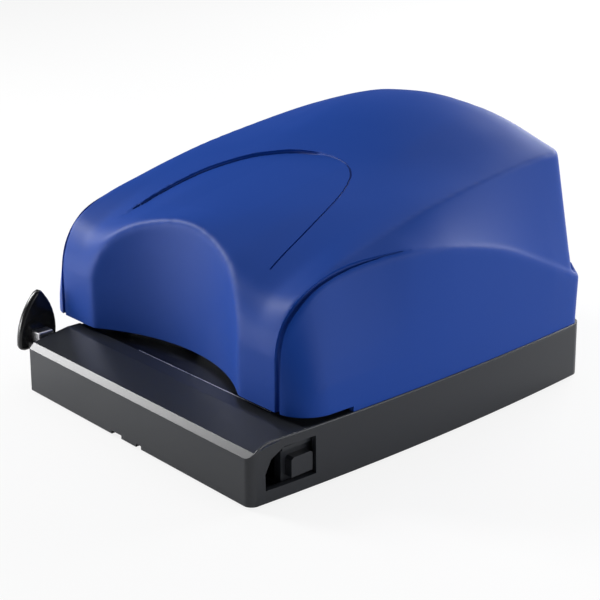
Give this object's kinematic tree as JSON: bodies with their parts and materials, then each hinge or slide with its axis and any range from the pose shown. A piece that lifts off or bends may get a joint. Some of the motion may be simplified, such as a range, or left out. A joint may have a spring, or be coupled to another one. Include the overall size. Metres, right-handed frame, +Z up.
{
  "type": "electric hole punch",
  "caption": "Desktop electric paper punch with a blue sculpted hood on a black base, a paper slot, a pull-out side guide and a motor-driven pair of punches.",
  "frame": {"origin": "centre of the overall box, on the surface the rubber feet stand on", "axes": "+X to the user's right, +Y from the paper side to the rear, +Z up"},
  "size_m": [0.1576, 0.175, 0.1088],
  "materials": {
    "black_case": "satin moulded black plastic",
    "blue_hood": "satin-gloss moulded blue plastic",
    "black_tab": "black moulded plastic",
    "tool_steel": "ground hardened steel",
    "sheet_steel": "zinc-plated pressed steel",
    "spring_steel": "drawn spring wire",
    "rail_steel": "bright flat steel bar",
    "bush_brass": "turned brass",
    "gear_nylon": "natural white nylon",
    "motor_can": "plated motor can",
    "cell_jacket": "printed metal jacket, left plain",
    "foot_rubber": "matt black rubber",
    "board_laminate": "green glass-fibre laminate",
    "board_parts_black": "moulded black packages",
    "screw_steel": "zinc-plated screws",
    "sensor_plastic": "moulded black plastic"
  },
  "bodies": {
    "machine": {"base_housing": "black_case", "top_cover": "blue_hood", "bottom_plate": "black_case", "rubber_feet": "foot_rubber", "die_plate": "tool_steel", "guide_posts": "tool_steel", "gear_axles": "tool_steel", "sensor_pin": "tool_steel", "punch_frame": "sheet_steel", "gear_plate_left": "sheet_steel", "gear_plate_right": "sheet_steel", "plate_spacers": "sheet_steel", "return_spring_left": "spring_steel", "return_spring_right": "spring_steel", "button_spring": "spring_steel", "battery_contacts": "spring_steel", "shaft_bushes": "bush_brass", "motor": "motor_can", "battery_cells": "cell_jacket", "circuit_board": "board_laminate", "board_parts": "board_parts_black", "power_inlet": "sensor_plastic", "sensor_switch": "sensor_plastic", "plate_screws": "screw_steel", "motor_screws": "screw_steel", "board_screws": "screw_steel", "cover_screws": "screw_steel", "frame_screws": "screw_steel", "base_screws": "screw_steel"},
    "cam_drive": {"cam_shaft": "tool_steel", "press_cams": "tool_steel", "cam_wheel": "tool_steel"},
    "punch_slide": {"punch_yoke": "sheet_steel", "punch_pin_left": "tool_steel", "punch_pin_right": "tool_steel", "punch_caps": "sheet_steel"},
    "second_gear_body": {"second_gear": "gear_nylon"},
    "first_gear_body": {"first_gear": "gear_nylon"},
    "motor_rotor": {"motor_pinion": "bush_brass", "motor_shaft": "tool_steel"},
    "paper_guide": {"guide_rail": "rail_steel", "guide_stop": "black_tab"},
    "chip_flap_body": {"chip_flap": "black_case"},
    "release_button_body": {"release_button": "black_tab"},
    "battery_door_body": {"battery_door": "black_case"},
    "sensor_lever_body": {"sensor_lever": "sensor_plastic"}
  },
  "joints": [
    {"name": "cam_turn", "type": "hinge", "parent": "machine", "child": "cam_drive", "pos_m": [0, -0.0315, 0.057], "axis": [1, 0, 0], "range_deg": [0, 150]},
    {"name": "punch_stroke", "type": "slide", "parent": "machine", "child": "punch_slide", "axis": [0, 0, -1], "range_m": [0, 0.007], "stiffness_N_per_m": 1000, "springref_m": -0.004, "deforming": ["return_spring_left", "return_spring_right"]},
    {"name": "second_gear_turn", "type": "hinge", "parent": "machine", "child": "second_gear_body", "pos_m": [0, -0.01291, 0.05202], "axis": [1, 0, 0], "range_deg": [-570, 0]},
    {"name": "first_gear_turn", "type": "hinge", "parent": "machine", "child": "first_gear_body", "pos_m": [0, 0.00569, 0.04704], "axis": [1, 0, 0], "range_deg": [0, 2166]},
    {"name": "motor_turn", "type": "hinge", "parent": "machine", "child": "motor_rotor", "pos_m": [0, 0.02428, 0.04205], "axis": [1, 0, 0], "range_deg": [-8230.8, 0]},
    {"name": "guide_slide", "type": "slide", "parent": "machine", "child": "paper_guide", "axis": [-1, 0, 0], "range_m": [0, 0.1]},
    {"name": "chip_flap_hinge", "type": "hinge", "parent": "machine", "child": "chip_flap_body", "pos_m": [0, -0.0417, 0.0022], "axis": [1, 0, 0], "range_deg": [0, 70]},
    {"name": "button_press", "type": "slide", "parent": "machine", "child": "release_button_body", "axis": [-1, 0, 0], "range_m": [0, 0.002], "stiffness_N_per_m": 500, "springref_m": -0.001, "deforming": ["button_spring"]},
    {"name": "battery_door_slide", "type": "slide", "parent": "machine", "child": "battery_door_body", "axis": [0, 1, 0], "range_m": [0, 0.02]},
    {"name": "sensor_lever_turn", "type": "hinge", "parent": "machine", "child": "sensor_lever_body", "pos_m": [-0.012, -0.0375, 0.033], "axis": [1, 0, 0], "range_deg": [0, 15], "stiffness_Nm_per_rad": 0.0005, "springref_deg": -11.46}
  ],
  "couplings": [
    {"joint": "punch_stroke", "follows": "cam_turn", "m_per_rad": 0.0026738},
    {"joint": "second_gear_turn", "follows": "cam_turn", "ratio": -3.8},
    {"joint": "first_gear_turn", "follows": "cam_turn", "ratio": 14.44},
    {"joint": "motor_turn", "follows": "cam_turn", "ratio": -54.872}
  ]
}
